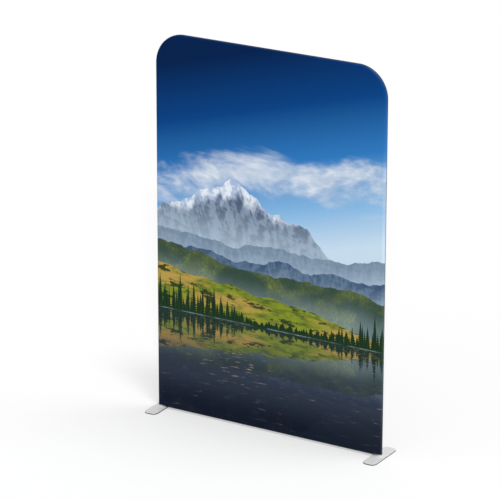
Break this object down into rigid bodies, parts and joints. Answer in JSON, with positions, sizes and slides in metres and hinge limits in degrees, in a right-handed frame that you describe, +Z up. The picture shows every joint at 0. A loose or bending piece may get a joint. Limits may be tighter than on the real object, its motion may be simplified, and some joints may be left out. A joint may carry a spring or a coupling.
{
  "type": "fabric display wall",
  "caption": "Free-standing display wall: a round-cornered tube frame inside a taut zip-on stretch fabric cover, standing on two flat swivelling feet.",
  "frame": {"origin": "on the floor, under the middle of the wall, between the two feet", "axes": "+X along the wall to the right as seen from the front, -Y out of the printed front, +Z up"},
  "size_m": [1.5522, 0.28, 2.3],
  "materials": {
    "cover_fabric": "taut printed stretch knit with a soft sheen",
    "zip_tape": "woven tape",
    "zip_nylon": "nylon coil",
    "zip_metal": "plated",
    "tube_aluminium": "satin anodised",
    "joiner_aluminium": "mill finish",
    "fastener_steel": "zinc plated",
    "foot_steel": "satin silver powder coat",
    "foot_rubber": "ribbed mat",
    "washer_nylon": "moulded"
  },
  "bodies": {
    "frame": {"bend_leg_joiner_left": "joiner_aluminium", "bend_leg_joiner_right": "joiner_aluminium", "bend_rail_joiner_left": "joiner_aluminium", "bend_rail_joiner_right": "joiner_aluminium", "bottom_rail_joiner": "joiner_aluminium", "bottom_rail_left": "tube_aluminium", "bottom_rail_right": "tube_aluminium", "bottom_stub_left": "joiner_aluminium", "bottom_stub_right": "joiner_aluminium", "corner_bend_left": "tube_aluminium", "corner_bend_right": "tube_aluminium", "cover_back": "cover_fabric", "cover_front": "cover_fabric", "crossbar_joiner": "joiner_aluminium", "crossbar_left": "tube_aluminium", "crossbar_right": "tube_aluminium", "crossbar_stub_left": "joiner_aluminium", "crossbar_stub_right": "joiner_aluminium", "foot_plug_left": "joiner_aluminium", "foot_plug_right": "joiner_aluminium", "foot_screws": "fastener_steel", "joiner_rivets": "tube_aluminium", "snap_springs": "fastener_steel", "stub_screws": "fastener_steel", "top_rail": "tube_aluminium", "upright_joiner_left": "joiner_aluminium", "upright_joiner_right": "joiner_aluminium", "upright_left_lower": "tube_aluminium", "upright_left_upper": "tube_aluminium", "upright_right_lower": "tube_aluminium", "upright_right_upper": "tube_aluminium", "zip_end_stops": "zip_nylon", "zip_tape_lower": "zip_tape", "zip_tape_upper": "zip_tape", "zip_teeth_lower": "zip_nylon", "zip_teeth_upper": "zip_nylon"},
    "left_foot": {"foot_plate_left": "foot_steel", "foot_pad_left": "foot_rubber", "foot_washer_left": "washer_nylon"},
    "right_foot": {"foot_plate_right": "foot_steel", "foot_pad_right": "foot_rubber", "foot_washer_right": "washer_nylon"},
    "button_bend_leg_left": {"button_bend_leg_left": "fastener_steel"},
    "button_bend_leg_right": {"button_bend_leg_right": "fastener_steel"},
    "button_bend_rail_left": {"button_bend_rail_left": "fastener_steel"},
    "button_bend_rail_right": {"button_bend_rail_right": "fastener_steel"},
    "button_bottom_rail": {"button_bottom_rail": "fastener_steel"},
    "button_bottom_stub_left": {"button_bottom_stub_left": "fastener_steel"},
    "button_bottom_stub_right": {"button_bottom_stub_right": "fastener_steel"},
    "button_crossbar": {"button_crossbar": "fastener_steel"},
    "button_crossbar_stub_left": {"button_crossbar_stub_left": "fastener_steel"},
    "button_crossbar_stub_right": {"button_crossbar_stub_right": "fastener_steel"},
    "button_upright_left": {"button_upright_left": "fastener_steel"},
    "button_upright_right": {"button_upright_right": "fastener_steel"},
    "zip_slider": {"zip_slider": "zip_metal"},
    "zip_pull_tab": {"zip_pull_tab": "zip_metal"}
  },
  "joints": [
    {"name": "left_foot_swivel", "type": "hinge", "parent": "frame", "child": "left_foot", "pos_m": [-0.7341, 0, 0.004], "axis": [0, 0, 1], "range_deg": [-90, 90]},
    {"name": "right_foot_swivel", "type": "hinge", "parent": "frame", "child": "right_foot", "pos_m": [0.7341, 0, 0.004], "axis": [0, 0, 1], "range_deg": [-90, 90]},
    {"name": "press_bend_leg_left", "type": "slide", "parent": "frame", "child": "button_bend_leg_left", "axis": [1, 0, 0], "range_m": [-0.0038, 0], "stiffness_N_per_m": 1500, "springref_m": 0.002, "deforming": ["snap_springs"]},
    {"name": "press_bend_leg_right", "type": "slide", "parent": "frame", "child": "button_bend_leg_right", "axis": [-1, 0, 0], "range_m": [-0.0038, 0], "stiffness_N_per_m": 1500, "springref_m": 0.002, "deforming": ["snap_springs"]},
    {"name": "press_bend_rail_left", "type": "slide", "parent": "frame", "child": "button_bend_rail_left", "axis": [0, 0, -1], "range_m": [-0.0038, 0], "stiffness_N_per_m": 1500, "springref_m": 0.002, "deforming": ["snap_springs"]},
    {"name": "press_bend_rail_right", "type": "slide", "parent": "frame", "child": "button_bend_rail_right", "axis": [0, 0, -1], "range_m": [-0.0038, 0], "stiffness_N_per_m": 1500, "springref_m": 0.002, "deforming": ["snap_springs"]},
    {"name": "press_bottom_rail", "type": "slide", "parent": "frame", "child": "button_bottom_rail", "axis": [0, 0, 1], "range_m": [-0.0038, 0], "stiffness_N_per_m": 1500, "springref_m": 0.002, "deforming": ["snap_springs"]},
    {"name": "press_bottom_stub_left", "type": "slide", "parent": "frame", "child": "button_bottom_stub_left", "axis": [0, 0, 1], "range_m": [-0.0038, 0], "stiffness_N_per_m": 1500, "springref_m": 0.002, "deforming": ["snap_springs"]},
    {"name": "press_bottom_stub_right", "type": "slide", "parent": "frame", "child": "button_bottom_stub_right", "axis": [0, 0, 1], "range_m": [-0.0038, 0], "stiffness_N_per_m": 1500, "springref_m": 0.002, "deforming": ["snap_springs"]},
    {"name": "press_crossbar", "type": "slide", "parent": "frame", "child": "button_crossbar", "axis": [0, 0, -1], "range_m": [-0.0038, 0], "stiffness_N_per_m": 1500, "springref_m": 0.002, "deforming": ["snap_springs"]},
    {"name": "press_crossbar_stub_left", "type": "slide", "parent": "frame", "child": "button_crossbar_stub_left", "axis": [0, 0, -1], "range_m": [-0.0038, 0], "stiffness_N_per_m": 1500, "springref_m": 0.002, "deforming": ["snap_springs"]},
    {"name": "press_crossbar_stub_right", "type": "slide", "parent": "frame", "child": "button_crossbar_stub_right", "axis": [0, 0, -1], "range_m": [-0.0038, 0], "stiffness_N_per_m": 1500, "springref_m": 0.002, "deforming": ["snap_springs"]},
    {"name": "press_upright_left", "type": "slide", "parent": "frame", "child": "button_upright_left", "axis": [1, 0, 0], "range_m": [-0.0038, 0], "stiffness_N_per_m": 1500, "springref_m": 0.002, "deforming": ["snap_springs"]},
    {"name": "press_upright_right", "type": "slide", "parent": "frame", "child": "button_upright_right", "axis": [-1, 0, 0], "range_m": [-0.0038, 0], "stiffness_N_per_m": 1500, "springref_m": 0.002, "deforming": ["snap_springs"]},
    {"name": "zip_travel", "type": "slide", "parent": "frame", "child": "zip_slider", "axis": [-1, 0, 0], "range_m": [0, 1.36]},
    {"name": "pull_tab_flip", "type": "hinge", "parent": "zip_slider", "child": "zip_pull_tab", "pos_m": [0.6738, 0.02105, 0.0605], "axis": [0, 0, -1], "range_deg": [0, 170]}
  ]
}
